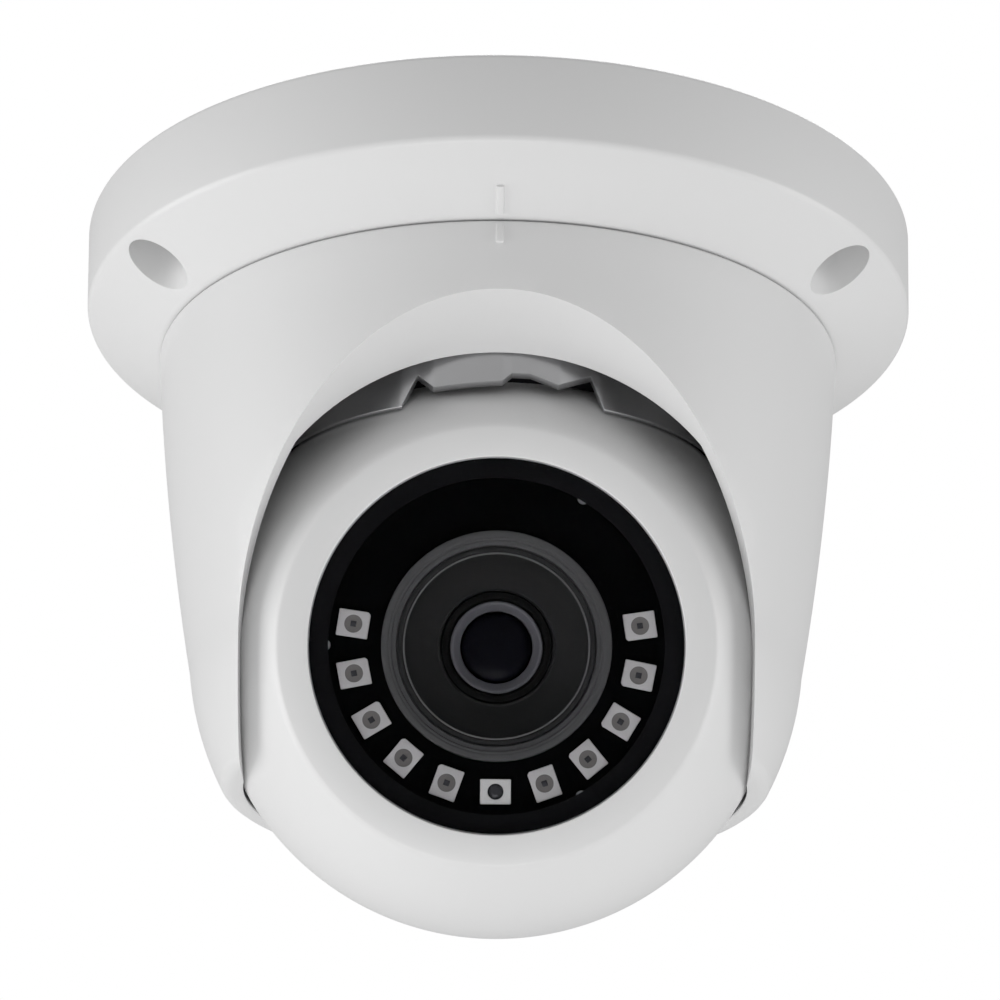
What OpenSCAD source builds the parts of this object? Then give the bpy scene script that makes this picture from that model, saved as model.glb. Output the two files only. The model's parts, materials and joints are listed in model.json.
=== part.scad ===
/* [Overall] */
// Diameter of the mounting flange
flange_d = 93.4; // [90:0.1:112]
// Depth of the ball's lowest point below the mounting plane
total_h = 79.4; // [78:0.1:96]
// Diameter of the ball that carries the camera
ball_d = 62.4; // [60:0.1:64]
// Angle of the lens below the horizontal at rest
rest_tilt = 18; // [0:1:60]

/* [Mounting base] */
// Height of the flange's upright side
side_h = 9.6; // [8:0.1:11]
// Height of the whole base, down to the seam with the cover
base_h = 14.5; // [13.5:0.1:16]
// Thickness of the plate that lies on the ceiling
plate_t = 2.6; // [2:0.1:3]
// Depth of the moulded pockets in the back
pocket_h = 7.4; // [4:0.1:8]
// Distance from the flange's edge to the centre of each fixing hole
hole_inset = 4.35; // [4:0.05:5]
// Diameter of each fixing hole
hole_d = 4.5; // [3.5:0.1:5]
// Diameter of the recess below each fixing hole
recess_d = 6.4; // [5.6:0.1:6.8]
// Diameter of the hole for the cable
cable_hole_d = 18; // [12:0.5:19]
// Width of the foam seal on the back
seal_w = 3; // [2:0.1:4]

/* [Swivel] */
// Wall of the hub that the swivel plate turns on
hub_wall = 2.5; // [2:0.1:3.5]
// Thickness of the swivel plate
swivel_t = 2; // [1.6:0.1:2.5]
// Width of the slip washer and of the keeper's rim
washer_w = 4.5; // [3:0.1:6]
// Wall of the castellated clamp ring
clamp_wall = 1.4; // [1:0.1:1.6]
// Width of one bayonet lug, in degrees
lug_angle = 28; // [15:1:32]

/* [Cover] */
// Diameter of the cover at the seam
cover_d = 76; // [75:0.1:78]
// Wall of the cover
cover_wall = 2.2; // [1.6:0.1:2.4]
// Height of the cover's lower rim above the lowest point of the ball
rim_up = 14.8; // [12:0.1:17]
// Half width of the opening for the ball
arch_r = 26.8; // [25:0.1:28]
// Downward slope of the opening's roof
arch_slope = 11; // [6:1:14]

/* [Ball] */
// Wall of the ball's two shells
shell_wall = 2.2; // [1.8:0.1:2.6]
// Radius of the flat front of the ball
face_r = 22.9; // [22:0.1:24]
// Radius of the window
window_r = 19.4; // [18.6:0.1:20]
// Thickness of the window
window_t = 2; // [1.5:0.1:2.5]
// Distance of the shells' joint behind the middle of the ball
split_back = 4.5; // [3:0.1:6]
// Radius of the opening in the cable gland
gland_bore_r = 2.5; // [1.5:0.1:3]

/* [Camera] */
// Outer radius of the rubber light sleeve round the lens
sleeve_r = 12; // [11:0.1:12.4]
// Radius of the circle that the infrared lamps stand on
led_ring_r = 15.1; // [14.6:0.1:15.4]
// Number of infrared lamps on each side of the light sensor
led_half = 5; // [3:1:6]
// Angle from one lamp to the next
led_step = 19.7; // [18:0.1:24]
// Radius of the lens barrel
barrel_r = 5.9; // [5.5:0.1:6]
// Thickness of each circuit board
board_t = 1.6; // [1:0.1:1.8]

/* [Clearances] */
// Free gap between pieces that move past each other
move_gap = 0.3; // [0.25:0.05:0.5]
// Running clearance on the radius of the swivel's hub
run_gap = 0.05; // [0.02:0.01:0.1]
// Gap between pieces that are fastened together
fit_gap = 0.05; // [0.02:0.01:0.1]

/* [Hidden] */
$fn = 96;
e = 0.01;

flange_r = flange_d / 2;
ball_r = ball_d / 2;
ball_z = ball_r - total_h;
hole_r = flange_r - hole_inset;
shoulder_r = flange_r - 0.4;
cover_r = cover_d / 2;
skirt_r = cover_r - 1.8;

// swivel, from the ceiling down
hub_r = cable_hole_d / 2 + hub_wall;
washer_z = -plate_t;
washer_h = 2.2;
swivel_z = washer_z - washer_h - 0.1;
keeper_z = swivel_z - swivel_t - 0.1;
keeper_h = 1.4;
washer_r = hub_r + washer_w;
swivel_low = swivel_z - swivel_t;
hub_screw_r = (cable_hole_d / 2 + hub_r) / 2;

// clamp ring: its foot comes close to the ball
clamp_low = ball_z + 19.8;
clamp_in = sqrt(pow(ball_r, 2) - pow(clamp_low - ball_z, 2)) + 0.4;
clamp_out = clamp_in + clamp_wall;
clamp_flange = 1.5;
clamp_toe = 1.2;
clamp_screw_r = clamp_out + 1.1;
friction_h = 3;
friction_top = clamp_low + 5.4;

// bayonet between the swivel plate and the cover
neck_out = skirt_r - 0.6;
neck_in = neck_out - 2;
lug_w = 1.9;
tab_out = neck_in - move_gap;
skirt_out = neck_in - lug_w - move_gap;
skirt_in = skirt_out - 1.4;
lug_top = -base_h + 6;
lug_t = 1.4;
tab_t = 1.3;
tab_top = lug_top - lug_t - move_gap;

// cover
cover_top = -base_h - 0.15;
rim_z = rim_up - total_h;
bell_r = ball_r + 2.2;
rim_round = 1.1;
bell_turn = 6;
bulge = 0.55;
hood_wall = 2;
hood_back = clamp_out + 0.5;
slot_back = 0.5;

// ball, along the lens axis from its middle
inner_r = ball_r - shell_wall;
seal_in = inner_r + 0.6;
seal_out = inner_r + 1.3;
seal_deep = 0.7;
crease_z = sqrt(pow(ball_r, 2) - pow(face_r, 2));
front_z = crease_z + 0.2;
window_z = front_z - 0.1 - window_t;
seal_t = 0.3;
ledge_w = 1.5;
front_wall = 1.7;
cavity_z = window_z - seal_t - front_wall;
boss_r = 2.4;
boss_at = inner_r - boss_r - 1.4;
boss_front = 5;
boss_back = 7.5;
shell_screw_r = 1;
gland_tilt = 45;
gland_r = 3.55;

// camera, along the same axis
led_z = cavity_z - 0.1;
led_board_z = led_z - board_t;
led_h = 0.7;
led_size = [2.8, 3.3];
sleeve_wall = 1.6;
sleeve_low = led_board_z - 5;
hood_out = sleeve_r - sleeve_wall - fit_gap;
hood_top = window_z - 0.9;
hood_low = hood_top - 4.6;
lens_face = hood_low + 0.3;
barrel_low = 2.6;
glass_r = 3.8;
mount_r = barrel_r + 2;
sensor_z = -1;
sensor_board_r = 19;
post_at = 17.2;
post_r = 1.6;
post_turn = 60;
chip_h = 1.5;
pad_t = 0.3;
spreader_t = 1.6;
power_z = sensor_z - board_t - 5.4;
power_board_r = 18;

white = [0.93, 0.93, 0.92];
steel = [0.72, 0.73, 0.74];
black = [0.04, 0.04, 0.05];
board_green = [0.05, 0.28, 0.16];

// ring of a rectangular section between two radii and two heights
module ring(r1, r2, z1, z2) {
  translate([0, 0, z1]) difference() {
    cylinder(r = r2, h = z2 - z1);
    translate([0, 0, -1]) cylinder(r = r1, h = z2 - z1 + 2);
  }
}

module post(r, z1, z2) {
  translate([0, 0, z1]) cylinder(r = r, h = z2 - z1, $fn = 32);
}

// children repeated round the axis
module around(n, radius, turn = 0) {
  for (i = [0 : n - 1])
    rotate([0, 0, turn + i * 360 / n]) translate([radius, 0, 0]) children();
}

// pan-headed screw: its head below z, its shank above
module screw(z, head_r, head_h, shank_r, length) {
  post(head_r, z - head_h, z);
  post(shank_r, z - e, z + length);
}

module along_lens() {
  translate([0, 0, ball_z]) rotate([90 + rest_tilt, 0, 0]) children();
}

// sector of a ring, centred on a direction
module sector(r1, r2, z1, z2, mid, width) {
  rotate([0, 0, mid - width / 2]) translate([0, 0, z1])
    rotate_extrude(angle = width) translate([r1, 0]) square([r2 - r1, z2 - z1]);
}

// mark that shows how the cover lines up with the base
module line_mark(r, z1, z2) {
  translate([-0.4, -r - 0.2, z1]) cube([0.8, 1.4, z2 - z1]);
}

// its partner on the sloping shoulder of the base
module shoulder_mark() {
  translate([0, -cover_r - 2, -base_h + 1.15]) rotate([-29.6, 0, 0])
    translate([-0.4, -1.7, -0.3]) cube([0.8, 3.4, 0.5]);
}

module base_profile() {
  polygon([
    [cable_hole_d / 2, 0], [flange_r - 0.6, 0], [flange_r, -0.6],
    [shoulder_r, -side_h + 0.4], [shoulder_r - 0.4, -side_h - 0.15],
    [shoulder_r - 4.1, -side_h - 2.5], [cover_r + 0.5, -base_h + 0.3], [cover_r, -base_h],
    [skirt_r, -base_h], [skirt_r, -plate_t], [hub_r, -plate_t],
    [hub_r, keeper_z], [cable_hole_d / 2, keeper_z]
  ]);
}

module mounting_base() color(white) difference() {
  union() {
    rotate_extrude() base_profile();
    shoulder_mark();
  }
  // moulded pockets between the screw bosses
  for (i = [0 : 2])
    sector(skirt_r + 1.8, flange_r - 1.8, -pocket_h, 1, -90 + 120 * i, 86);
  // fixing holes, with a deep recess for the screw head
  around(3, hole_r, 90) {
    post(hole_d / 2, -base_h, 1);
    post(recess_d / 2, -base_h - 1, -plate_t);
  }
  ring(skirt_r - 1 - seal_w, skirt_r - 1, -1.2, 1);
  around(3, hub_screw_r, 90) post(0.75, keeper_z - 1, -plate_t - 0.4);
}

module base_seal() color([0.16, 0.16, 0.17])
  ring(skirt_r - 1 - seal_w + fit_gap, skirt_r - 1 - fit_gap, -1.2, 0);

module slip_washer() color([0.9, 0.88, 0.8])
  ring(hub_r + fit_gap, washer_r, washer_z - washer_h, washer_z);

module swivel_keeper() color(steel) difference() {
  ring(cable_hole_d / 2, washer_r, keeper_z - keeper_h, keeper_z);
  around(3, hub_screw_r, 90) post(0.85, keeper_z - keeper_h - 1, keeper_z + 1);
}

module keeper_screws() color(steel)
  around(3, hub_screw_r, 90) screw(keeper_z - keeper_h, 1.2, 0.8, 0.75, keeper_h + 2.4);

module swivel_plate() color([0.8, 0.8, 0.79]) difference() {
  union() {
    ring(hub_r + run_gap, skirt_out, swivel_low, swivel_z);
    ring(skirt_in, skirt_out, tab_top - tab_t, swivel_low + e);
    for (i = [0 : 2])
      sector(skirt_out - e, tab_out, tab_top - tab_t, tab_top, -90 + 120 * i, lug_angle);
  }
  around(3, clamp_screw_r, 30) post(0.8, swivel_low - 1, swivel_z - 0.4);
}

// gap over two short fingers, between two long ones, at the foot of the clamp ring
module finger_gap(turn) {
  rotate([0, 0, turn]) translate([0, 0, clamp_low]) rotate([90, 0, 0])
    linear_extrude(height = clamp_out + 2) polygon([
      [-10.1, -3], [-10.1, -0.9], [-8.5, 2.2], [-6.8, 0.6], [0.4, 1], [1.4, 1.9],
      [3.3, 1.9], [6.3, 0.9], [9.7, 2.4], [11.1, -1.1], [11.1, -3]
    ]);
}

module clamp_ring() color(steel) difference() {
  union() {
    ring(clamp_in, clamp_out, clamp_low - clamp_toe, swivel_low);
    ring(clamp_in, clamp_out + 2.4, swivel_low - clamp_flange, swivel_low);
  }
  translate([0, 0, ball_z]) sphere(r = ball_r + move_gap);
  for (i = [0 : 3]) finger_gap(90 * i);
  around(3, clamp_screw_r, 30) post(0.9, swivel_low - clamp_flange - 1, swivel_low + 1);
}

module clamp_screws() color(steel)
  around(3, clamp_screw_r, 30)
    screw(swivel_low - clamp_flange, 1, 0.7, 0.8, clamp_flange + swivel_t - 0.5);

// rubber seat that presses on the top of the ball
module friction_ring() color([0.1, 0.1, 0.1]) difference() {
  ring(clamp_in - 3.6, clamp_in - fit_gap, friction_top - friction_h, friction_top);
  translate([0, 0, ball_z]) sphere(r = ball_r + move_gap);
}

// outline of the bell: a slightly bulged wall that runs into a sphere round the ball
bell_side = [for (i = [0 : 8])
  let (t = i / 8,
       low_r = bell_r * cos(bell_turn),
       low_z = ball_z - bell_r * sin(bell_turn))
  [cover_r + (low_r - cover_r) * t + bulge * 4 * t * (1 - t), cover_top + (low_z - cover_top) * t]];
rim_turn = asin((ball_z - rim_z - rim_round) / bell_r);
rim_r = bell_r * cos(rim_turn);
bell_foot = [for (i = [1 : 8])
  let (a = bell_turn + (rim_turn - bell_turn) * i / 8)
  [bell_r * cos(a), ball_z - bell_r * sin(a)]];

module bell_profile(inset) {
  offset_pts = [for (p = concat(bell_side, bell_foot)) [p[0] - inset, p[1]]];
  rim = [[rim_r - rim_round / 2 - inset, rim_z + 0.3], [rim_r - 1.3 * rim_round - inset, rim_z]];
  polygon(concat([[0, cover_top]], offset_pts, rim, [[0, rim_z]]));
}

// opening for the ball: a sloping arch that runs on straight down
module arch(extra, y_back) {
  intersection() {
    translate([0, -32, ball_z + 24.4 - arch_r]) rotate([-arch_slope, 0, 0])
      rotate([90, 0, 0]) translate([0, 0, -60]) linear_extrude(height = 120) {
        circle(r = arch_r + extra);
        translate([-arch_r - extra, -80]) square([2 * (arch_r + extra), 80]);
      }
    translate([-50, -70, -2 * total_h]) cube([100, 70 - y_back, 2 * total_h]);
  }
}

module trim_cover() color(white) difference() {
  union() {
    difference() {
      rotate_extrude() bell_profile(0);
      rotate_extrude() intersection() {
        bell_profile(cover_wall);
        translate([0, ball_z]) square([cover_r, total_h]);
      }
      translate([0, 0, ball_z]) sphere(r = ball_r + move_gap);
    }
    // inner hood that carries the roof of the opening back to the clamp ring
    intersection() {
      rotate_extrude() bell_profile(cover_wall / 2);
      difference() {
        arch(hood_wall, hood_back);
        translate([-50, -60, -2 * total_h]) cube([100, 60, 2 * total_h + ball_z + 8]);
      }
    }
    // neck with the bayonet lugs
    ring(neck_in, neck_out, cover_top - 1.5, lug_top + 0.4);
    ring(neck_in, cover_r - 0.5, cover_top - 1.5, cover_top);
    for (i = [0 : 2])
      sector(neck_in - lug_w, neck_in + 0.5, lug_top - lug_t, lug_top, -90 + 120 * i, lug_angle);
    line_mark(cover_r, cover_top - 2.6, cover_top - 0.4);
  }
  arch(0, slot_back);
}

module shell_half(z1, z2) {
  rotate_extrude() difference() {
    intersection() {
      circle(r = ball_r);
      translate([0, z1]) square([ball_r, z2 - z1]);
    }
    intersection() {
      circle(r = inner_r);
      translate([0, z1 - 1]) square([ball_r, cavity_z - z1 + 1]);
    }
  }
}

module front_shell() color(white) along_lens() difference() {
  union() {
    difference() {
      union() {
        shell_half(-split_back, crease_z);
        translate([0, 0, crease_z - e])
          cylinder(r1 = face_r, r2 = face_r - 0.5, h = front_z - crease_z + e);
      }
      post(window_r - ledge_w, 0, front_z + 1);
      post(window_r + 0.1, window_z - seal_t, front_z + 1);
      ring(seal_in, seal_out, -split_back - 1, -split_back + seal_deep);
    }
    intersection() {
      around(3, boss_at, -90) post(boss_r + 1.5, -split_back, boss_front);
      sphere(r = inner_r + 0.3);
    }
  }
  around(3, boss_at, -90) post(shell_screw_r, -split_back - 1, boss_front - 1.2);
}

module rear_shell() color(white) along_lens() difference() {
  union() {
    shell_half(-ball_r, -split_back);
    intersection() {
      around(3, boss_at, -90) post(boss_r + 0.6, -ball_r, -split_back);
      sphere(r = inner_r + 1);
    }
  }
  around(3, boss_at, -90) {
    post(shell_screw_r + 0.1, -ball_r, 0);
    post(2, -ball_r - 1, -split_back - boss_back);
  }
  rotate([180 + gland_tilt, 0, 0]) post(gland_r + fit_gap, 20, ball_r + 1);
}

module shell_seal() color([0.1, 0.1, 0.1]) along_lens()
  ring(seal_in + fit_gap, seal_out - fit_gap, -split_back, -split_back + seal_deep);

module shell_screws() color(steel) along_lens()
  around(3, boss_at, -90)
    screw(-split_back - boss_back, 1.8, 1.2, shell_screw_r, boss_back + boss_front);

module window() color([0.05, 0.05, 0.07, 0.4]) along_lens()
  translate([0, 0, window_z]) cylinder(r = window_r, h = window_t);

module window_seal() color([0.08, 0.08, 0.08]) along_lens()
  ring(window_r - ledge_w - 0.4, window_r, window_z - seal_t, window_z);

module lens_sleeve() color([0.2, 0.2, 0.2]) along_lens()
  ring(sleeve_r - sleeve_wall, sleeve_r, sleeve_low, window_z);

module lens_hood() color([0.14, 0.14, 0.14]) along_lens() rotate_extrude() polygon([
  [barrel_r + fit_gap, hood_low - 2], [hood_out, hood_low - 2], [hood_out, hood_top],
  [hood_out - 0.5, hood_top], [hood_out - 0.9, hood_top - 0.6], [barrel_r + fit_gap, hood_low]
]);

module lens_barrel() color(black) along_lens() difference() {
  post(barrel_r, barrel_low, lens_face);
  post(glass_r + 1.1, lens_face - 1.2, lens_face + 1);
  post(glass_r, barrel_low - 1, lens_face + 1);
}

module lens_lock_ring() color([0.2, 0.2, 0.2]) along_lens()
  ring(barrel_r + fit_gap, mount_r + 0.4, 8, hood_low - 2);

module lens_retainer() color([0.25, 0.25, 0.26]) along_lens()
  ring(glass_r, glass_r + 1.1 - fit_gap, lens_face - 1.2, lens_face - 0.1);

// glass with one domed face, held in the barrel
module lens_glass(z, thick, dome) {
  rotate_extrude() intersection() {
    translate([0, z]) square([glass_r - fit_gap, thick]);
    translate([0, z + thick - dome]) circle(r = dome);
  }
}

module front_lens() color([0.1, 0.1, 0.16, 0.5]) along_lens()
  lens_glass(lens_face - 3.2, 2.6, 7);

module rear_lens() color([0.1, 0.1, 0.16, 0.5]) along_lens()
  lens_glass(barrel_low + 0.6, 2.2, 6);

module lens_mount() color(black) along_lens() difference() {
  union() {
    post(mount_r, sensor_z, 8);
    translate([-9, -9, sensor_z]) cube([18, 18, 1.4]);
  }
  post(barrel_r + fit_gap, 2.2, 9);
  translate([-5, -4.5, sensor_z - 1]) cube([10, 9, 2.4]);
  post(3.9, sensor_z, 3);
}

module ir_cut_filter() color([0.5, 0.2, 0.2, 0.5]) along_lens()
  post(3.9 - fit_gap, 0.6, 1.1);

module image_sensor() color([0.2, 0.25, 0.3]) along_lens()
  translate([-3.6, -3.2, sensor_z]) cube([7.2, 6.4, 1]);

module led_place(k) {
  rotate([0, 0, -90 + k * led_step]) translate([led_ring_r, 0, 0]) rotate([0, 0, 90]) children();
}

module led_board() color([0.03, 0.03, 0.03]) along_lens() difference() {
  ring(sleeve_r + fit_gap, window_r - 0.4, led_board_z, led_z);
  around(3, post_at + 0.7, post_turn) post(0.6, led_board_z - 1, led_z + 1);
}

module ir_leds() color([0.75, 0.74, 0.72]) along_lens()
  for (k = [-led_half : led_half])
    if (k != 0)
      led_place(k) translate([-led_size[0] / 2, -led_size[1] / 2, led_z])
        cube([led_size[0], led_size[1], led_h]);

module light_sensor() color([0.92, 0.92, 0.9]) along_lens()
  led_place(0) difference() {
    translate([-1.6, -1.3, led_z]) cube([3.2, 2.6, led_h]);
    post(0.85, led_z + 0.2, led_z + 1);
  }

module led_board_screws() color(steel) along_lens()
  around(3, post_at + 0.7, post_turn) post(0.55, led_board_z, led_z + 0.05);

module front_spacers() color(steel) along_lens()
  around(3, post_at, post_turn) post(post_r, sensor_z, led_board_z);

module sensor_board() color(board_green) along_lens()
  translate([0, 0, sensor_z - board_t]) cylinder(r = sensor_board_r, h = board_t);

module image_processor() color(black) along_lens()
  translate([-6, -6, sensor_z - board_t - chip_h]) cube([12, 12, chip_h]);

module thermal_pad() color([0.5, 0.6, 0.75]) along_lens()
  translate([-6, -6, sensor_z - board_t - chip_h - pad_t]) cube([12, 12, pad_t]);

module heat_spreader() color([0.7, 0.71, 0.72]) along_lens()
  translate([0, 0, sensor_z - board_t - chip_h - pad_t - spreader_t])
    cylinder(r = post_at - post_r - 0.6, h = spreader_t);

module rear_spacers() color(steel) along_lens()
  around(3, post_at - 0.9, post_turn) post(post_r - 0.4, power_z, sensor_z - board_t);

module power_board() color(board_green) along_lens()
  translate([0, 0, power_z - board_t]) cylinder(r = power_board_r, h = board_t);

// choke coil and two capacitors behind the power board
module power_parts() color([0.2, 0.2, 0.22]) along_lens() {
  translate([-8, -8, power_z - board_t - 4]) cube([7, 7, 4]);
  translate([6, -5, 0]) post(2.5, power_z - board_t - 6, power_z - board_t);
  translate([10, 1, 0]) post(2.5, power_z - board_t - 6, power_z - board_t);
}

module board_connectors() color([0.9, 0.88, 0.8]) along_lens() {
  translate([-5, 8, power_z - board_t - 4]) cube([10, 4.5, 4]);
  translate([11.3, -5, sensor_z]) cube([3.5, 9, 3.4]);
}

module spacer_screws() color(steel) along_lens()
  around(3, post_at - 0.9, post_turn) post(1.5, power_z - board_t - 1, power_z - board_t);

module cable_gland() color([0.1, 0.1, 0.1]) along_lens()
  rotate([180 + gland_tilt, 0, 0]) difference() {
    union() {
      post(gland_r, inner_r - 2, ball_r - 0.5);
      post(gland_r + 1.1, inner_r - 2.6, inner_r - 0.75);
    }
    post(gland_bore_r, inner_r - 5, ball_r + 1);
  }

mounting_base();
base_seal();
slip_washer();
swivel_keeper();
keeper_screws();
swivel_plate();
clamp_ring();
clamp_screws();
friction_ring();
trim_cover();
front_shell();
rear_shell();
shell_seal();
shell_screws();
window();
window_seal();
lens_sleeve();
lens_hood();
lens_barrel();
lens_lock_ring();
lens_retainer();
front_lens();
rear_lens();
lens_mount();
ir_cut_filter();
image_sensor();
led_board();
ir_leds();
light_sensor();
led_board_screws();
front_spacers();
sensor_board();
image_processor();
thermal_pad();
heat_spreader();
rear_spacers();
power_board();
power_parts();
board_connectors();
spacer_screws();
cable_gland();
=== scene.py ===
import json
import math

import bmesh
import bpy
from mathutils import Matrix, Vector


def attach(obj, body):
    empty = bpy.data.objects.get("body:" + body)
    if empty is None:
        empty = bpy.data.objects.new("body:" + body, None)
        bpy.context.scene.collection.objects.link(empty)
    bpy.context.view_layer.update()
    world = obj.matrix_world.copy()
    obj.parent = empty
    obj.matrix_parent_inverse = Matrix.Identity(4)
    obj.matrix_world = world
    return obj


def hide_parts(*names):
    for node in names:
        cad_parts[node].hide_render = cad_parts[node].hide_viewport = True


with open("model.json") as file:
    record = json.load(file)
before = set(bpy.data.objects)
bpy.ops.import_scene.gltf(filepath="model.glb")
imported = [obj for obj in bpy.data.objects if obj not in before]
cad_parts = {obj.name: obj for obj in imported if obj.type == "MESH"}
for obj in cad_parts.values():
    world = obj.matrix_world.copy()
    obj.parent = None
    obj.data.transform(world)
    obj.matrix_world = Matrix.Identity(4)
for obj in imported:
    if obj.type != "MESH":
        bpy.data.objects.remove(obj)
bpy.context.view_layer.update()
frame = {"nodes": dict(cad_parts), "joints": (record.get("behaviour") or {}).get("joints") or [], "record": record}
nodes = frame["nodes"]
joints = {j["name"]: j for j in frame["joints"]}
mm = 0.001

ballMiddle = Vector(joints["tilt"]["pos_m"])
restTilt = math.radians(18)
lensAxes = Matrix.Translation(ballMiddle) @ Matrix.Rotation(math.pi / 2 + restTilt, 4, "X")
print("frame loaded:", len(nodes), "nodes")


# ---------- camera, light and floor

view = {
    "target": (0.34, 0, -30.34),   # mm
    "distance": 401.6,             # mm
    "rise": 26.2,                  # degrees that the camera sits below the target's level line
    "turn": -0.2,
    "roll": 0.35,
    "lens": 125.98,
}


def addCamera():
    data = bpy.data.cameras.new("viewCamera")
    data.lens = view["lens"]
    data.sensor_width = 36
    data.clip_start = 0.01
    camera = bpy.data.objects.new("viewCamera", data)
    bpy.context.scene.collection.objects.link(camera)
    rise, turn = math.radians(view["rise"]), math.radians(view["turn"])
    away = Vector((math.sin(turn) * math.cos(rise), -math.cos(turn) * math.cos(rise), -math.sin(rise)))
    target = Vector(view["target"]) * mm
    place = away * view["distance"] * mm
    aim = (target - place).to_track_quat("-Z", "Y").to_matrix().to_4x4()
    camera.matrix_world = Matrix.Translation(place) @ aim @ Matrix.Rotation(math.radians(view["roll"]), 4, "Z")
    bpy.context.scene.camera = camera


studio = {
    "floorDrop": 0.5,      # metres below the mounting plane
    "floorSize": 6,
    "skyStrength": 0.42,
    "lamps": [             # place in metres, size, watts
        ("leftLamp", (-0.85, -0.12, -0.16), 0.6, 3.2),
        ("rightLamp", (0.88, -0.12, -0.16), 0.6, 2.4),
        ("lowLamp", (-0.05, -0.22, -0.46), 0.3, 0.62),
        ("topLamp", (0.1, 0.5, 0.9), 0.8, 4.5),
    ],
}


def addStudio():
    bpy.ops.mesh.primitive_plane_add(size=studio["floorSize"], location=(0, 0, -studio["floorDrop"]))
    floor = bpy.context.object
    floor.name = "floor"
    paper = bpy.data.materials.new("floorPaper")
    paper.use_nodes = True
    shader = paper.node_tree.nodes["Principled BSDF"]
    shader.inputs["Base Color"].default_value = (0.82, 0.82, 0.82, 1)
    shader.inputs["Roughness"].default_value = 0.9
    floor.data.materials.append(paper)

    world = bpy.data.worlds.new("paleRoom")
    bpy.context.scene.world = world
    world.use_nodes = True
    tree = world.node_tree
    light = tree.nodes["Background"]
    light.inputs["Color"].default_value = (1, 1, 1, 1)
    light.inputs["Strength"].default_value = studio["skyStrength"]
    seen = tree.nodes.new("ShaderNodeBackground")
    seen.inputs["Color"].default_value = (1, 1, 1, 1)
    seen.inputs["Strength"].default_value = 1.0
    path = tree.nodes.new("ShaderNodeLightPath")
    mix = tree.nodes.new("ShaderNodeMixShader")
    tree.links.new(path.outputs["Is Camera Ray"], mix.inputs["Fac"])
    tree.links.new(light.outputs["Background"], mix.inputs[1])
    tree.links.new(seen.outputs["Background"], mix.inputs[2])
    tree.links.new(mix.outputs["Shader"], tree.nodes["World Output"].inputs["Surface"])

    for name, place, size, power in studio["lamps"]:
        data = bpy.data.lights.new(name, "AREA")
        data.size = size
        data.energy = power
        lamp = bpy.data.objects.new(name, data)
        lamp.location = place
        lamp.visible_camera = False
        aim = ballMiddle - Vector(place)
        lamp.rotation_euler = aim.to_track_quat("-Z", "Y").to_euler()
        bpy.context.scene.collection.objects.link(lamp)


addCamera()
addStudio()
bpy.context.scene.view_settings.view_transform = "Standard"
print("camera and studio ready")


# ---------- shared shader effects

def newGroup(name, inputs, outputs):
    group = bpy.data.node_groups.new(name, "ShaderNodeTree")
    for label, kind, value in inputs:
        socket = group.interface.new_socket(name=label, in_out="INPUT", socket_type=kind)
        socket.default_value = value
    for label, kind in outputs:
        group.interface.new_socket(name=label, in_out="OUTPUT", socket_type=kind)
    start = group.nodes.new("NodeGroupInput")
    end = group.nodes.new("NodeGroupOutput")
    return group, start, end


def makeFinishGroup():
    # fine surface texture, with slow changes of tone and gloss
    group, start, end = newGroup(
        "surfaceFinish",
        [("Grain size", "NodeSocketFloat", 900.0), ("Tone", "NodeSocketColor", (1, 1, 1, 1)),
         ("Tone change", "NodeSocketFloat", 0.04), ("Roughness", "NodeSocketFloat", 0.4),
         ("Roughness change", "NodeSocketFloat", 0.08)],
        [("Color", "NodeSocketColor"), ("Roughness", "NodeSocketFloat"), ("Height", "NodeSocketFloat")],
    )
    link = group.links.new
    where = group.nodes.new("ShaderNodeTexCoord")
    fine = group.nodes.new("ShaderNodeTexNoise")
    fine.inputs["Detail"].default_value = 2
    link(where.outputs["Object"], fine.inputs["Vector"])
    link(start.outputs["Grain size"], fine.inputs["Scale"])
    slow = group.nodes.new("ShaderNodeTexNoise")
    slow.inputs["Scale"].default_value = 38
    slow.inputs["Detail"].default_value = 4
    link(where.outputs["Object"], slow.inputs["Vector"])
    centred = group.nodes.new("ShaderNodeMath")
    centred.operation = "SUBTRACT"
    link(slow.outputs["Fac"], centred.inputs[0])
    centred.inputs[1].default_value = 0.5
    toneShift = group.nodes.new("ShaderNodeMath")
    toneShift.operation = "MULTIPLY_ADD"
    link(centred.outputs[0], toneShift.inputs[0])
    link(start.outputs["Tone change"], toneShift.inputs[1])
    toneShift.inputs[2].default_value = 1.0
    tone = group.nodes.new("ShaderNodeVectorMath")
    tone.operation = "SCALE"
    link(start.outputs["Tone"], tone.inputs[0])
    link(toneShift.outputs[0], tone.inputs["Scale"])
    gloss = group.nodes.new("ShaderNodeMath")
    gloss.operation = "MULTIPLY_ADD"
    link(centred.outputs[0], gloss.inputs[0])
    link(start.outputs["Roughness change"], gloss.inputs[1])
    link(start.outputs["Roughness"], gloss.inputs[2])
    link(tone.outputs[0], end.inputs["Color"])
    link(gloss.outputs[0], end.inputs["Roughness"])
    link(fine.outputs["Fac"], end.inputs["Height"])
    return group


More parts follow.
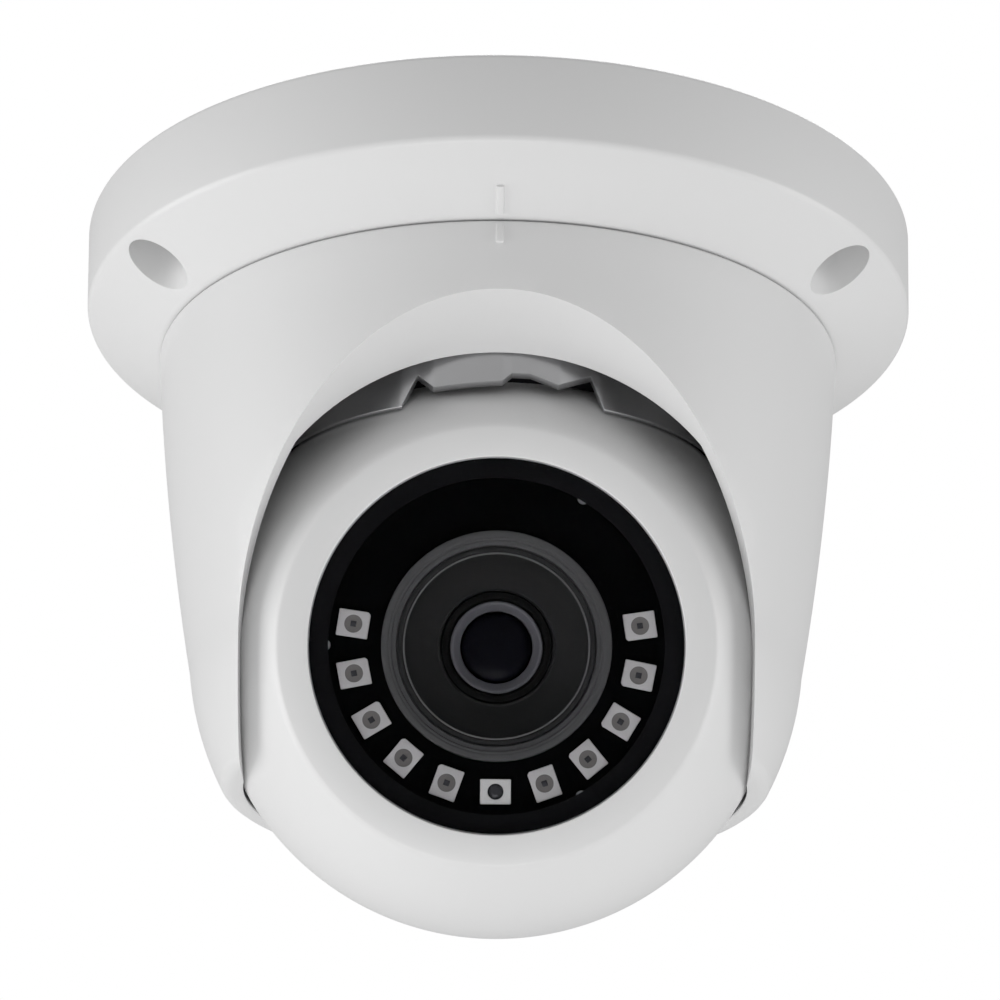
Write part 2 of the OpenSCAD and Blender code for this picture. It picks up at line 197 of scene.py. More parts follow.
def makeTurnedGroup():
    # fine circular tool marks about the Z axis of a centred place
    group, start, end = newGroup(
        "turnedMarks",
        [("Vector", "NodeSocketVector", (0, 0, 0)), ("Rings", "NodeSocketFloat", 2600.0),
         ("Strength", "NodeSocketFloat", 0.2)],
        [("Height", "NodeSocketFloat"), ("Mask", "NodeSocketFloat")],
    )
    link = group.links.new
    split = group.nodes.new("ShaderNodeSeparateXYZ")
    link(start.outputs["Vector"], split.inputs[0])
    flat = group.nodes.new("ShaderNodeCombineXYZ")
    link(split.outputs["X"], flat.inputs["X"])
    link(split.outputs["Y"], flat.inputs["Y"])
    reach = group.nodes.new("ShaderNodeVectorMath")
    reach.operation = "LENGTH"
    link(flat.outputs[0], reach.inputs[0])
    rings = group.nodes.new("ShaderNodeTexNoise")
    rings.noise_dimensions = "1D"
    rings.inputs["Detail"].default_value = 1
    link(reach.outputs["Value"], rings.inputs["W"])
    link(start.outputs["Rings"], rings.inputs["Scale"])
    weaker = group.nodes.new("ShaderNodeMath")
    weaker.operation = "MULTIPLY"
    link(rings.outputs["Fac"], weaker.inputs[0])
    link(start.outputs["Strength"], weaker.inputs[1])
    link(weaker.outputs[0], end.inputs["Height"])
    link(rings.outputs["Fac"], end.inputs["Mask"])
    return group


finishGroup = makeFinishGroup()
turnedGroup = makeTurnedGroup()


def startMaterial(name, colour, roughness, grain=900.0, toneChange=0.04, roughnessChange=0.08,
                  bump=0.05, depth=0.00004, metallic=0.0, shine=0.5):
    material = bpy.data.materials.new(name)
    material.use_nodes = True
    tree = material.node_tree
    shader = tree.nodes["Principled BSDF"]
    shader.inputs["Metallic"].default_value = metallic
    shader.inputs["Specular IOR Level"].default_value = shine
    finish = tree.nodes.new("ShaderNodeGroup")
    finish.node_tree = finishGroup
    finish.inputs["Grain size"].default_value = grain
    finish.inputs["Tone"].default_value = (*colour, 1)
    finish.inputs["Tone change"].default_value = toneChange
    finish.inputs["Roughness"].default_value = roughness
    finish.inputs["Roughness change"].default_value = roughnessChange
    raised = tree.nodes.new("ShaderNodeBump")
    raised.inputs["Strength"].default_value = bump
    raised.inputs["Distance"].default_value = depth
    tree.links.new(finish.outputs["Color"], shader.inputs["Base Color"])
    tree.links.new(finish.outputs["Roughness"], shader.inputs["Roughness"])
    tree.links.new(finish.outputs["Height"], raised.inputs["Height"])
    tree.links.new(raised.outputs["Normal"], shader.inputs["Normal"])
    return material


def addTurnedMarks(material, aboutLens, rings, strength, depth):
    # the marks run round the lens axis, or else round the upright axis
    tree = material.node_tree
    where = tree.nodes.new("ShaderNodeTexCoord")
    turn = tree.nodes.new("ShaderNodeMapping")
    back = lensAxes.inverted() if aboutLens else Matrix.Identity(4)
    turn.inputs["Location"].default_value = back.to_translation()
    turn.inputs["Rotation"].default_value = back.to_euler()
    marks = tree.nodes.new("ShaderNodeGroup")
    marks.node_tree = turnedGroup
    marks.inputs["Rings"].default_value = rings
    marks.inputs["Strength"].default_value = strength
    raised = tree.nodes.new("ShaderNodeBump")
    raised.inputs["Strength"].default_value = 0.5
    raised.inputs["Distance"].default_value = depth
    fine = [n for n in tree.nodes if n.bl_idname == "ShaderNodeBump"][0]
    shader = tree.nodes["Principled BSDF"]
    tree.links.new(where.outputs["Object"], turn.inputs["Vector"])
    tree.links.new(turn.outputs["Vector"], marks.inputs["Vector"])
    tree.links.new(marks.outputs["Height"], raised.inputs["Height"])
    tree.links.new(fine.outputs["Normal"], raised.inputs["Normal"])
    tree.links.new(raised.outputs["Normal"], shader.inputs["Normal"])
    return material


def glassMaterial(name, colour, clearness, ior):
    material = startMaterial(name, colour, 0.03, grain=300, toneChange=0.02, roughnessChange=0.02, bump=0.0)
    shader = material.node_tree.nodes["Principled BSDF"]
    shader.inputs["Transmission Weight"].default_value = clearness
    shader.inputs["IOR"].default_value = ior
    shader.inputs["Specular IOR Level"].default_value = 0.1
    return material


def makeMaterials():
    made = {}
    made["whitePaint"] = startMaterial("whitePaint", (0.80, 0.80, 0.80), 0.42, grain=1500,
                                       toneChange=0.015, bump=0.10, depth=0.00003)
    made["whitePaint"].node_tree.nodes["Principled BSDF"].inputs["Coat Weight"].default_value = 0.12
    made["foam"] = startMaterial("foamBlack", (0.045, 0.045, 0.048), 0.9, grain=2600, bump=0.7, depth=0.0002)
    made["acetal"] = startMaterial("acetalCream", (0.72, 0.70, 0.62), 0.45, grain=800)
    made["zincSteel"] = startMaterial("zincSteel", (0.62, 0.63, 0.64), 0.32, grain=1400, metallic=1.0)
    made["castGrey"] = startMaterial("castGrey", (0.52, 0.53, 0.54), 0.5, grain=1100, bump=0.3, metallic=1.0)
    made["clampSteel"] = addTurnedMarks(
        startMaterial("clampSteel", (0.62, 0.62, 0.63), 0.36, grain=900, metallic=1.0),
        False, 2200, 0.4, 0.00004)
    made["blackRubber"] = startMaterial("blackRubber", (0.006, 0.006, 0.007), 0.7, grain=2200, bump=0.35,
                                        shine=0.08)
    made["sleeveRubber"] = startMaterial("sleeveRubber", (0.075, 0.075, 0.075), 0.62, grain=2600, bump=0.4,
                                         depth=0.00006, shine=0.3)
    made["hoodPlastic"] = addTurnedMarks(
        startMaterial("hoodPlastic", (0.022, 0.022, 0.022), 0.55, grain=1800, bump=0.2, shine=0.2),
        True, 1800, 0.5, 0.00006)
    made["barrelBlack"] = startMaterial("barrelBlack", (0.006, 0.006, 0.006), 0.5, grain=1200, shine=0.05)
    made["ringGrey"] = addTurnedMarks(
        startMaterial("ringGrey", (0.12, 0.12, 0.13), 0.35, grain=1200, shine=0.3),
        True, 3000, 0.3, 0.00003)
    # painted highlight: a lighter grey that stands in for the light caught on the hood's lip
    made["paintedRimHighlight"] = startMaterial("paintedRimHighlight", (0.13, 0.13, 0.13), 0.3, grain=1200)
    made["windowGlass"] = glassMaterial("windowGlass", (0.93, 0.93, 0.95), 1.0, 1.03)
    made["lensGlass"] = startMaterial("lensGlass", (0.003, 0.003, 0.006), 0.05, grain=200,
                                      roughnessChange=0.02, bump=0.0, shine=0.06)
    made["filterGlass"] = startMaterial("filterGlass", (0.25, 0.06, 0.07), 0.08, grain=200, bump=0.0)
    made["sensorChip"] = startMaterial("sensorChip", (0.05, 0.07, 0.10), 0.12, grain=3000)
    made["boardBlack"] = startMaterial("boardBlack", (0.0015, 0.0015, 0.0022), 0.75, grain=2400, bump=0.2,
                                       shine=0.02)
    made["lampBody"] = startMaterial("lampBody", (0.62, 0.61, 0.60), 0.4, grain=5000, toneChange=0.5, bump=0.3)
    made["lampGel"] = startMaterial("lampGel", (0.20, 0.19, 0.18), 0.15, grain=3500, toneChange=0.6)
    made["lampDie"] = startMaterial("lampDie", (0.03, 0.03, 0.035), 0.25, grain=4000)
    made["sensorWhite"] = startMaterial("sensorWhite", (0.75, 0.75, 0.73), 0.35, grain=3000)
    made["boardGreen"] = startMaterial("boardGreen", (0.015, 0.12, 0.05), 0.3, grain=1500, toneChange=0.3)
    made["chipBlack"] = startMaterial("chipBlack", (0.02, 0.02, 0.021), 0.6, grain=3500, bump=0.3)
    made["padBlue"] = startMaterial("padBlue", (0.22, 0.32, 0.48), 0.75, grain=2000, bump=0.4)
    made["spreader"] = startMaterial("spreaderAluminium", (0.68, 0.69, 0.70), 0.3, grain=900, metallic=1.0)
    return made


paint = makeMaterials()
slotPaint = {
    "white_paint": "whitePaint", "foam": "foam", "acetal": "acetal", "zinc_steel": "zincSteel",
    "cast_grey": "castGrey", "clamp_steel": "clampSteel", "black_rubber": "blackRubber",
    "window_glass": "windowGlass", "sleeve_rubber": "sleeveRubber", "hood_plastic": "hoodPlastic",
    "barrel_black": "barrelBlack", "lens_ring": "ringGrey", "lens_glass": "lensGlass",
    "filter_glass": "filterGlass", "sensor_chip": "sensorChip", "led_mask": "boardBlack",
    "led_body": "lampBody", "sensor_body": "sensorWhite", "board_green": "boardGreen",
    "chip_black": "chipBlack", "pad_blue": "padBlue", "spreader_aluminium": "spreader",
}


def paintFrame():
    # every carried-over node gets the finish of its slot
    for row in frame["record"]["subparts"]:
        node = nodes[row["node"]]
        material = paint[slotPaint[row["material_slot"]]]
        node.data.materials.clear()
        node.data.materials.append(material)


paintFrame()
print("materials ready:", len(paint))


# ---------- tools for the meshes

def addPiece(name, bm, materials, body, replaced=(), place=None, smooth=35):
    if place is not None:
        bm.transform(place)
    mesh = bpy.data.meshes.new(name)
    bm.to_mesh(mesh)
    bm.free()
    piece = bpy.data.objects.new(name, mesh)
    bpy.context.scene.collection.objects.link(piece)
    for material in materials:
        mesh.materials.append(paint[material])
    mesh.shade_smooth()
    mesh.set_sharp_from_angle(angle=math.radians(smooth))
    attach(piece, body)
    if replaced:
        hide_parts(*replaced)
    return piece


def scaled(points):
    return [(r * mm, z * mm) for r, z in points]


def latheMesh(points, steps=192, closed=True, rounded=(), segments=4):
    # turns an outline of (radius, height) round Z; rounded: (corner number, size in mm)
    bm = bmesh.new()
    corners = [bm.verts.new((r, 0, z)) for r, z in scaled(points)]
    edges = [bm.edges.new(pair) for pair in zip(corners, corners[1:])]
    if closed:
        edges.append(bm.edges.new((corners[-1], corners[0])))
    for number, size in rounded:
        bmesh.ops.bevel(bm, geom=[corners[number]], offset=size * mm, offset_type="OFFSET",
                        affect="VERTICES", segments=segments, profile=0.5, material=-1)
    bmesh.ops.spin(bm, geom=bm.verts[:] + bm.edges[:], cent=(0, 0, 0), axis=(0, 0, 1),
                   angle=2 * math.pi, steps=steps, use_merge=True)
    bmesh.ops.remove_doubles(bm, verts=bm.verts[:], dist=0.000002)
    bmesh.ops.dissolve_degenerate(bm, edges=bm.edges[:], dist=0.000001)
    bmesh.ops.recalc_face_normals(bm, faces=bm.faces[:])
    return bm


def arcPoints(radius, height, centre, first, last, count):
    # points on a circle about (0, centre), by angle from the level
    turns = [first + (last - first) * i / count for i in range(count + 1)]
    return [(radius * math.cos(math.radians(a)), centre + height * math.sin(math.radians(a))) for a in turns]


def postMesh(radius, low, high, steps=48):
    bm = bmesh.new()
    bmesh.ops.create_cone(bm, cap_ends=True, segments=steps, radius1=radius * mm, radius2=radius * mm,
                          depth=(high - low) * mm)
    bmesh.ops.translate(bm, verts=bm.verts[:], vec=(0, 0, (high + low) / 2 * mm))
    return bm


def gather(parts):
    # puts several meshes, each with its place, into one
    whole = bmesh.new()
    for part, place in parts:
        part.transform(place)
        mesh = bpy.data.meshes.new("part")
        part.to_mesh(mesh)
        part.free()
        whole.from_mesh(mesh)
        bpy.data.meshes.remove(mesh)
    return whole


def carve(bm, cutter, operation="DIFFERENCE"):
    # cuts one closed mesh with another
    scene = bpy.context.scene
    pair = []
    for name, part in (("work", bm), ("cutter", cutter)):
        mesh = bpy.data.meshes.new(name)
        part.to_mesh(mesh)
        part.free()
        thing = bpy.data.objects.new(name, mesh)
        scene.collection.objects.link(thing)
        pair.append(thing)
    work, tool = pair
    cut = work.modifiers.new("cut", "BOOLEAN")
    cut.operation = operation
    cut.solver = "EXACT"
    cut.object = tool
    bpy.context.view_layer.update()
    result = work.evaluated_get(bpy.context.evaluated_depsgraph_get()).to_mesh()
    out = bmesh.new()
    out.from_mesh(result)
    for thing in pair:
        mesh = thing.data
        bpy.data.objects.remove(thing)
        bpy.data.meshes.remove(mesh)
    bmesh.ops.remove_doubles(out, verts=out.verts[:], dist=0.00002)
    bmesh.ops.dissolve_degenerate(out, edges=out.edges[:], dist=0.00001)
    return out


def softenEdges(bm, size, test, angle=30, segments=3):
    # rounds the sharp edges that the test picks
    sharp = []
    for edge in bm.edges:
        if len(edge.link_faces) == 2 and edge.calc_face_angle(0) > math.radians(angle):
            if test((edge.verts[0].co + edge.verts[1].co) / 2 / mm):
                sharp.append(edge)
    bmesh.ops.bevel(bm, geom=sharp, offset=size * mm, offset_type="OFFSET", affect="EDGES",
                    segments=segments, profile=0.5, clamp_overlap=True, material=-1)
    return len(sharp)


def turned(angle):
    return Matrix.Rotation(math.radians(angle), 4, "Z")


# ---------- mounting base

base = {
    "radius": 46.7, "side": 9.6, "height": 14.5, "coverRadius": 38.0, "skirt": 36.2, "plate": 2.6,
    "hub": 11.5, "hubLow": 7.0, "cable": 9.0, "holeRing": 42.35, "hole": 2.25, "recess": 3.2,
    "pocket": 7.4, "sealOut": 35.2, "sealIn": 32.2, "sealDeep": 1.2,
    "mark": (0.8, 3.4, 0.62), "markLean": 29.6,   # the bar at the front, and its slope in degrees
}


def ringSector(inner, outer, low, high, mid, width, steps=40):
    bm = bmesh.new()
    corners = [bm.verts.new(p) for p in
               ((inner * mm, 0, low * mm), (outer * mm, 0, low * mm),
                (outer * mm, 0, high * mm), (inner * mm, 0, high * mm))]
    bm.faces.new(corners)
    bmesh.ops.rotate(bm, verts=bm.verts[:], cent=(0, 0, 0), matrix=turned(mid - width / 2).to_3x3())
    bmesh.ops.spin(bm, geom=bm.faces[:], cent=(0, 0, 0), axis=(0, 0, 1),
                   angle=math.radians(width), steps=steps, use_duplicate=False)
    bmesh.ops.recalc_face_normals(bm, faces=bm.faces[:])
    return bm


def markMesh(wide, deep, high):
    # rounded bar that stands a little proud of the paint
    bm = bmesh.new()
    bmesh.ops.create_cube(bm, size=1)
    bmesh.ops.scale(bm, verts=bm.verts[:], vec=(wide * mm, deep * mm, high * mm))
    bmesh.ops.bevel(bm, geom=bm.edges[:], offset=0.14 * mm, offset_type="OFFSET", affect="EDGES",
                    segments=2, profile=0.5, material=-1)
    return bm


def makeBase():
    b = base
    outline = [
        (b["cable"], 0), (b["radius"] - 0.1, 0), (b["radius"] - 0.4, -b["side"] - 0.1),
        (b["radius"] - 4.5, -b["side"] - 2.5), (b["coverRadius"], -b["height"]),
        (b["skirt"], -b["height"]), (b["skirt"], -b["plate"]), (b["hub"], -b["plate"]),
        (b["hub"], -b["hubLow"]), (b["cable"], -b["hubLow"]),
    ]
    bm = latheMesh(outline, steps=240, segments=5,
                   rounded=[(9, 0.3), (8, 0.3), (7, 0.8), (6, 0.8), (5, 0.3), (4, 0.4), (3, 0.9), (2, 0.5),
                            (1, 0.6), (0, 0.4)])
    cuts = []
    holes = []
    for i in range(3):
        screwSpot = turned(90 + 120 * i) @ Matrix.Translation((b["holeRing"] * mm, 0, 0))
        holes.append((postMesh(b["hole"], -20, 1), screwSpot))
        cuts.append((postMesh(b["recess"], -20, -b["plate"], 64), screwSpot))
        cuts.append((ringSector(b["skirt"] + 1.8, b["radius"] - 1.8, -b["pocket"], 1, -90 + 120 * i, 86),
                     Matrix.Identity(4)))
    seal = latheMesh([(b["sealIn"], -b["sealDeep"]), (b["sealOut"], -b["sealDeep"]),
                      (b["sealOut"], 1), (b["sealIn"], 1)], steps=240)
    cuts.append((seal, Matrix.Identity(4)))
    bm = carve(carve(bm, gather(cuts)), gather(holes))

    def recessRim(p):
        return p.z < -b["side"] and math.hypot(p.x, p.y) > b["coverRadius"] + 0.8
    count = softenEdges(bm, 0.3, recessRim, angle=25)
    spot = Matrix.Translation((0, -(b["coverRadius"] + 2) * mm, (-b["height"] + 1.15) * mm))
    lean = Matrix.Rotation(math.radians(-b["markLean"]), 4, "X")
    bm = gather([(bm, Matrix.Identity(4)), (markMesh(*b["mark"]), spot @ lean)])
    print("base: softened", count)
    return addPiece("mountingBase", bm, ["whitePaint"], "base", ["mounting_base"], smooth=30)


# ---------- trim cover

cover = {
    "radius": 38.0, "top": -14.65, "wall": 2.2, "bell": 33.4, "turn": 6, "bulge": 0.55, "rim": -64.6,
    "archRadius": 26.8, "archSlope": 11, "archY": -32, "archRise": 24.4, "slotBack": 0,
    "hoodWall": 2.0, "hoodBack": 26.4, "hoodInset": 1.1, "neckIn": 33.6, "neckOut": 35.6, "neckTop": -8.5,
    "mark": (0.8, 1.3, 2.2),   # the bar at the front
}


def bellOutline(inset, steps=14):
    c = cover
    middle = ballMiddle.z / mm
    turn = math.radians(c["turn"])
    foot = (c["bell"] * math.cos(turn), middle - c["bell"] * math.sin(turn))
    side = []
    for i in range(steps):
        t = i / steps
        side.append((c["radius"] + (foot[0] - c["radius"]) * t + c["bulge"] * 4 * t * (1 - t) - inset,
                     c["top"] + (foot[1] - c["top"]) * t))
    last = math.degrees(math.asin((middle - c["rim"]) / c["bell"]))
    round_ = arcPoints(c["bell"], -c["bell"], middle, c["turn"], last, steps)
    return side + [(r - inset, z) for r, z in round_]


def archMesh(extra, yBack, yFront=-60.0, zLow=-90.0, topOnly=False):
    # the opening: a sloping arch that runs on straight down
    c = cover
    middle = ballMiddle.z / mm
    reach = c["archRadius"] + extra
    bm = bmesh.new()
    count = 72
    turns = [math.pi * i / count for i in range(count + 1)]
    outline = [bm.verts.new((reach * mm * math.cos(t), 0, reach * mm * math.sin(t))) for t in turns]
    outline.append(bm.verts.new((-reach * mm, 0, -60 * mm)))
    outline.append(bm.verts.new((reach * mm, 0, -60 * mm)))
    face = bm.faces.new(outline)
    made = bmesh.ops.extrude_face_region(bm, geom=[face])
    moved = [v for v in made["geom"] if isinstance(v, bmesh.types.BMVert)]
    bmesh.ops.translate(bm, verts=moved, vec=(0, 120 * mm, 0))
    bmesh.ops.translate(bm, verts=bm.verts[:], vec=(0, -60 * mm, 0))
    place = Matrix.Translation((0, c["archY"] * mm, (middle + c["archRise"] - c["archRadius"]) * mm))
    bm.transform(place @ Matrix.Rotation(math.radians(-c["archSlope"]), 4, "X"))
    low = (middle + 8) * mm if topOnly else zLow * mm
    for point, normal in (((0, -yBack * mm, 0), (0, 1, 0)), ((0, yFront * mm, 0), (0, -1, 0)),
                          ((0, 0, low), (0, 0, -1))):
        bmesh.ops.bisect_plane(bm, geom=bm.verts[:] + bm.edges[:] + bm.faces[:], plane_co=point,
                               plane_no=normal, clear_outer=True)
        open_ = [e for e in bm.edges if len(e.link_faces) == 1]
        bmesh.ops.holes_fill(bm, edges=open_)
    bmesh.ops.recalc_face_normals(bm, faces=bm.faces[:])
    return bm


def makeCover():
    c = cover
    middle = ballMiddle.z / mm
    outer = bellOutline(0)
    inner = [p for p in bellOutline(c["wall"]) if p[1] > c["rim"] + 3]
    seatRadius = ball["seat"]
    seatEnd = math.degrees(math.asin((middle - c["rim"]) / seatRadius))
    seat = arcPoints(seatRadius, -seatRadius, middle, 24, seatEnd, 10)
    inner = [p for p in inner if p[1] > seat[0][1] + 0.6]
    neck = [(c["neckIn"], c["top"] - 1.5), (c["neckIn"], c["neckTop"]), (c["neckOut"], c["neckTop"]),
            (c["neckOut"], c["top"])]
    inside = [p for p in inner if p[1] < c["top"] - 2]
    outline = outer + list(reversed(seat)) + list(reversed(inside)) + neck
    rimOut = len(outer) - 1
    rimIn = len(outer)
    bm = latheMesh(outline, steps=288, rounded=[(rimIn, 0.35), (rimOut, 1.0), (0, 0.5)])
    bellBody = latheMesh([(0, -5)] + bellOutline(c["hoodInset"]) + [(0, c["rim"])], steps=288)
    hood = carve(archMesh(c["hoodWall"], c["hoodBack"], topOnly=True), bellBody, "INTERSECT")
    bm = carve(bm, hood, "UNION")
    bm = carve(bm, archMesh(0, c["slotBack"]))

    def openingRim(p):
        # edges where the opening meets the outside of the cover
        reach = math.hypot(p.x, p.y)
        if p.y > -3 or p.z > -16:
            return False
        side = [q for q in outer if q[1] <= p.z + 1.5 and q[1] >= p.z - 1.5]
        return bool(side) and any(abs(reach - q[0]) < 0.45 for q in side)
    count = softenEdges(bm, 0.7, openingRim, angle=28, segments=4)
    spot = Matrix.Translation((0, -(c["radius"] - 0.45) * mm, (c["top"] - 1.5) * mm))
    bm = gather([(bm, Matrix.Identity(4)), (markMesh(*c["mark"]), spot)])
    print("cover: softened", count)
    return addPiece("trimCover", bm, ["whitePaint"], "cover", ["trim_cover"], smooth=30)


# ---------- ball

ball = {
    "radius": 31.2, "wall": 2.2, "face": 22.9, "window": 19.4, "windowThick": 2.0, "split": 4.5,
    "ledge": 1.5, "sealDeep": 0.3, "frontWall": 1.7,
    "gap": 0.12,    # round the window
    "seat": 31.5,   # radius of the hollow that the ball turns in
}
creaseZ = math.sqrt(ball["radius"] ** 2 - ball["face"] ** 2)
frontZ = creaseZ + 0.2
windowZ = frontZ - 0.1 - ball["windowThick"]


def makeFrontShell():
    b = ball
    creaseAngle = math.degrees(math.asin(creaseZ / b["radius"]))
    startAngle = -math.degrees(math.asin(b["split"] / b["radius"]))
    outer = arcPoints(b["radius"], b["radius"], 0, startAngle, creaseAngle, 40)
    innerRadius = b["radius"] - b["wall"]
    cavityZ = windowZ - b["sealDeep"] - b["frontWall"]
    innerStart = -math.degrees(math.asin(b["split"] / innerRadius))
    innerEnd = math.degrees(math.asin(cavityZ / innerRadius))
    inner = arcPoints(innerRadius, innerRadius, 0, innerEnd, innerStart, 20)
    ledgeZ = windowZ - b["sealDeep"]
    front = [(b["face"] - 0.4, frontZ), (b["window"] + b["gap"], frontZ), (b["window"] + b["gap"], ledgeZ),
             (b["window"] - b["ledge"], ledgeZ), (b["window"] - b["ledge"], cavityZ)]
    outline = outer + front + inner
    crease = len(outer) - 1
    bm = latheMesh(outline, steps=256, segments=5,
                   rounded=[(len(outline) - 1, 0.2), (crease + 2, 0.18), (0, 0.25)])
    return addPiece("frontShell", bm, ["whitePaint"], "eyeball", ["front_shell"], lensAxes,
                    smooth=40)


def makeWindow():
    b = ball
    bm = latheMesh([(0, windowZ), (b["window"], windowZ), (b["window"], windowZ + b["windowThick"]),
                    (0, windowZ + b["windowThick"])], steps=200, closed=False, rounded=[(2, 0.25), (1, 0.2)])
    return addPiece("frontWindow", bm, ["windowGlass"], "eyeball", ["window"], lensAxes,
                    smooth=40)


# ---------- lens and its light sleeve

lens = {
    "sleeve": 12.0, "sleeveWall": 1.6, "sleeveLow": 10.6, "hood": 10.35, "barrel": 5.9, "glass": 3.8,
    "hoodDrop": 4.6,
}
hoodTop = windowZ - 0.9
hoodLow = hoodTop - lens["hoodDrop"]
lensFace = hoodLow + 0.3


def makeSleeve():
    s = lens
    top = windowZ - 0.02
    inner = s["sleeve"] - s["sleeveWall"]
    outline = [
        (inner, s["sleeveLow"]), (s["sleeve"], s["sleeveLow"]), (s["sleeve"], top), (s["sleeve"] - 0.62, top),
        (s["sleeve"] - 0.78, top - 0.12), (s["sleeve"] - 1.0, top - 0.12), (s["sleeve"] - 1.12, top - 0.4),
        (inner + 0.12, top - 0.5), (inner, top - 0.8),
    ]
    bm = latheMesh(outline, steps=160, rounded=[(5, 0.08), (3, 0.12), (2, 0.2)])
    return addPiece("lightSleeve", bm, ["sleeveRubber"], "eyeball", ["lens_sleeve"], lensAxes)


def makeHood():
    s = lens
    out = s["hood"]
    outline = [
        (s["barrel"] + 0.05, hoodLow - 2), (out, hoodLow - 2), (out, hoodTop), (out - 0.5, hoodTop),
        (out - 0.62, hoodTop - 0.3), (out - 0.8, hoodTop - 0.3), (out - 0.95, hoodTop - 0.9),
        (s["barrel"] + 0.3, hoodLow + 0.15), (s["barrel"] + 0.05, hoodLow + 0.3),
    ]
    bm = latheMesh(outline, steps=160, rounded=[(7, 0.1), (4, 0.05), (3, 0.15), (2, 0.1)])
    return addPiece("lensHood", bm, ["hoodPlastic"], "eyeball", ["lens_hood"], lensAxes)


def makeHoodLipHighlight():
    # fine lip where the hood's face begins, coloured a lighter grey than the hood as a painted highlight along its
    # edge
    out = lens["hood"] - 0.6
    bm = latheMesh([(out, hoodTop - 0.28), (out - 0.18, hoodTop - 0.28), (out - 0.18, hoodTop - 0.12),
                    (out, hoodTop - 0.12)], steps=160, rounded=[(3, 0.05), (2, 0.05)])
    return addPiece("hoodLipHighlight", bm, ["paintedRimHighlight"], "eyeball", [], lensAxes)


def makeBarrel():
    s = lens
    outline = [
        (s["glass"], 2.6), (s["barrel"], 2.6), (s["barrel"], lensFace), (s["glass"] + 1.35, lensFace),
        (s["glass"] + 1.1, lensFace - 0.35), (s["glass"] + 1.1, lensFace - 1.2), (s["glass"], lensFace - 1.2),
    ]
    bm = latheMesh(outline, steps=120, rounded=[(3, 0.12), (2, 0.25)])
    return addPiece("lensBarrel", bm, ["barrelBlack"], "eyeball", ["lens_barrel"], lensAxes)


def makeRetainer():
    s = lens
    outline = [
        (s["glass"], lensFace - 1.2), (s["glass"] + 1.05, lensFace - 1.2), (s["glass"] + 1.05, lensFace - 0.1),
        (s["glass"] + 0.75, lensFace - 0.1), (s["glass"] + 0.05, lensFace - 0.75),
    ]
    bm = latheMesh(outline, steps=120, rounded=[(3, 0.15), (2, 0.12)])
    return addPiece("lensRetainer", bm, ["ringGrey"], "eyeball", ["lens_retainer"], lensAxes)


def makeFrontLens():
    bm = latheMesh([(0, lensFace - 3.2), (3.74, lensFace - 3.2), (3.74, lensFace - 1.7)]
                   + [(3.74 * math.cos(math.radians(a)), lensFace - 1.7 + 1.0 * math.sin(math.radians(a)))
                      for a in range(10, 91, 8)], steps=96, closed=False)
    return addPiece("frontLens", bm, ["lensGlass"], "eyeball", ["front_lens"], lensAxes,
                    smooth=50)


# ---------- lamps and light sensor

lampRow = {
    "ring": 15.1, "half": 5, "step": 19.7, "width": 2.8, "length": 3.3, "height": 0.7, "cup": 0.95,
    "die": 0.6, "dieHeight": 0.12,
}
lightEye = {"width": 3.2, "length": 2.6, "height": 0.7, "eye": 0.85}
boardTop = windowZ - ball["sealDeep"] - ball["frontWall"] - 0.1


def lampPlace(k):
    angle = -90 + k * lampRow["step"]
    return lensAxes @ turned(angle) @ Matrix.Translation((lampRow["ring"] * mm, 0, boardTop * mm)) @ turned(90)


def bodyBlock(width, length, height, edge=0.1):
    bm = bmesh.new()
    bmesh.ops.create_cube(bm, size=1)
    bmesh.ops.scale(bm, verts=bm.verts[:], vec=(width * mm, length * mm, height * mm))
    bmesh.ops.translate(bm, verts=bm.verts[:], vec=(0, 0, height / 2 * mm))
    bmesh.ops.bevel(bm, geom=bm.edges[:], offset=edge * mm, offset_type="OFFSET", affect="EDGES",
                    segments=2, profile=0.5, material=-1)
    return bm


def setMaterial(bm, number):
    for face in bm.faces:
        face.material_index = number
    return bm


def makeLamp(k):
    r = lampRow
    block = bodyBlock(r["width"], r["length"], r["height"])
    # small corner cut that marks the lamp's pole
    corner = Vector((-r["width"] / 2, r["length"] / 2, 0)) * mm
    bmesh.ops.bisect_plane(block, geom=block.verts[:] + block.edges[:] + block.faces[:],
                           plane_co=corner + Vector((0.14, -0.14, 0)) * mm, plane_no=(-1, 1, 0),
                           clear_outer=True)
    bmesh.ops.holes_fill(block, edges=[e for e in block.edges if len(e.link_faces) == 1])
    cup = postMesh(r["cup"], 0.35, 2, 32)
    block = carve(block, cup)
    gel = setMaterial(latheMesh([(0, 0.3), (r["cup"] + 0.02, 0.3), (r["cup"] + 0.02, 0.52), (0, 0.44)], 32,
                                closed=False), 1)
    die = setMaterial(bodyBlock(r["die"], r["die"], r["dieHeight"], 0.02), 2)
    bmesh.ops.translate(die, verts=die.verts[:], vec=(0, 0, 0.43 * mm))
    whole = gather([(block, Matrix.Identity(4)), (gel, Matrix.Identity(4)), (die, Matrix.Identity(4))])
    return addPiece(f"infraredLamp.{k + r['half']}", whole, ["lampBody", "lampGel", "lampDie"], "eyeball",
                    ["ir_leds"], lampPlace(k))


def makeLightSensor():
    e = lightEye
    block = carve(bodyBlock(e["width"], e["length"], e["height"]), postMesh(e["eye"], 0.2, 2, 32))
    eye = setMaterial(latheMesh([(0, 0.2), (0.83, 0.2), (0.83, 0.42), (0.6, 0.62), (0.3, 0.7), (0, 0.72)], 32,
                                closed=False), 1)
    whole = gather([(block, Matrix.Identity(4)), (eye, Matrix.Identity(4))])
    return addPiece("lightSensor", whole, ["sensorWhite", "lampDie"], "eyeball", ["light_sensor"],
                    lampPlace(0))


# ---------- clamp ring

clamp = {"in": 24.51, "out": 25.91, "low": -28.4, "toe": 1.2, "top": -6.9, "flange": 2.4, "flangeThick": 1.5}


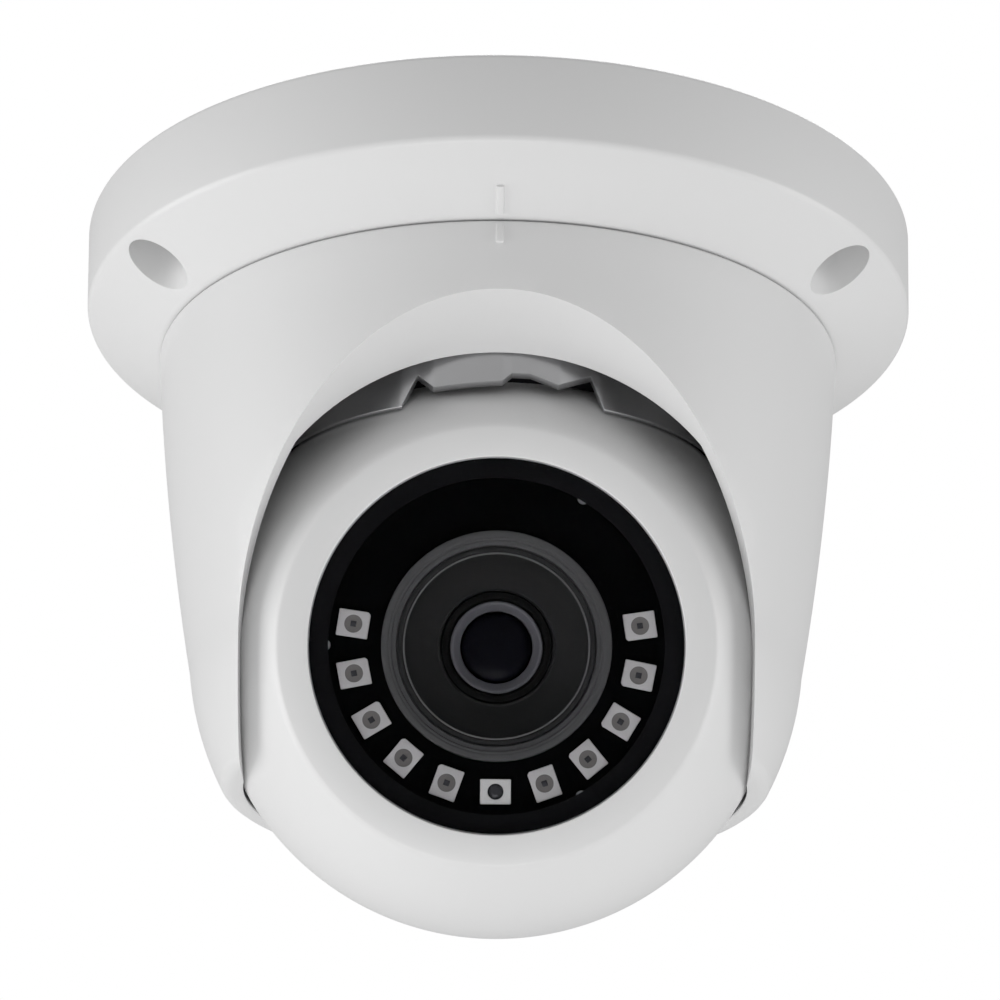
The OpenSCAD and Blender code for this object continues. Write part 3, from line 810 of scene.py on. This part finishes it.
def fingerGap(turn):
    # gap over two short fingers; points along the ring and up from its foot
    c = clamp
    shape = [(-10.1, -3), (-10.1, -0.9), (-8.5, 2.2), (-6.8, 0.6), (0.4, 1.0), (1.4, 1.9),
             (3.3, 1.9), (6.3, 0.9), (9.7, 2.4), (11.1, -1.1), (11.1, -3)]
    bm = bmesh.new()
    face = bm.faces.new([bm.verts.new((x * mm, 0, (c["low"] + z) * mm)) for x, z in shape])
    made = bmesh.ops.extrude_face_region(bm, geom=[face])
    moved = [v for v in made["geom"] if isinstance(v, bmesh.types.BMVert)]
    bmesh.ops.translate(bm, verts=moved, vec=(0, -(c["out"] + 2) * mm, 0))
    bmesh.ops.translate(bm, verts=bm.verts[:], vec=(0, -15 * mm, 0))
    bmesh.ops.recalc_face_normals(bm, faces=bm.faces[:])
    bm.transform(turned(turn))
    return bm


def makeClampRing():
    c = clamp
    low = c["low"] - c["toe"]
    seat = ball["seat"]
    rise = low - ballMiddle.z / mm
    foot = math.sqrt(seat ** 2 - rise ** 2)
    start = math.sqrt(seat ** 2 - c["in"] ** 2) + ballMiddle.z / mm
    outline = [
        (foot, low), (c["out"], low), (c["out"], c["top"] - c["flangeThick"]),
        (c["out"] + c["flange"], c["top"] - c["flangeThick"]), (c["out"] + c["flange"], c["top"]),
        (c["in"], c["top"]), (c["in"], start),
    ]
    bm = latheMesh(outline, steps=240, rounded=[(1, 0.15)])
    cuts = [(fingerGap(90 * i), Matrix.Identity(4)) for i in range(4)]
    for i in range(3):
        cuts.append((postMesh(0.9, c["top"] - 4, c["top"] + 1, 24),
                     turned(30 + 120 * i) @ Matrix.Translation(((c["out"] + 1.1) * mm, 0, 0))))
    bm = carve(bm, gather(cuts))
    softenEdges(bm, 0.18, lambda p: p.z < c["low"] + 3, angle=30, segments=2)
    return addPiece("clampRing", bm, ["clampSteel"], "turret", ["clamp_ring"], smooth=30)


makeBase()
makeCover()
makeFrontShell()
makeWindow()
makeSleeve()
makeHood()
makeHoodLipHighlight()
makeBarrel()
makeRetainer()
makeFrontLens()
makeClampRing()
for k in range(-lampRow["half"], lampRow["half"] + 1):
    if k:
        makeLamp(k)
makeLightSensor()
print("pieces ready")
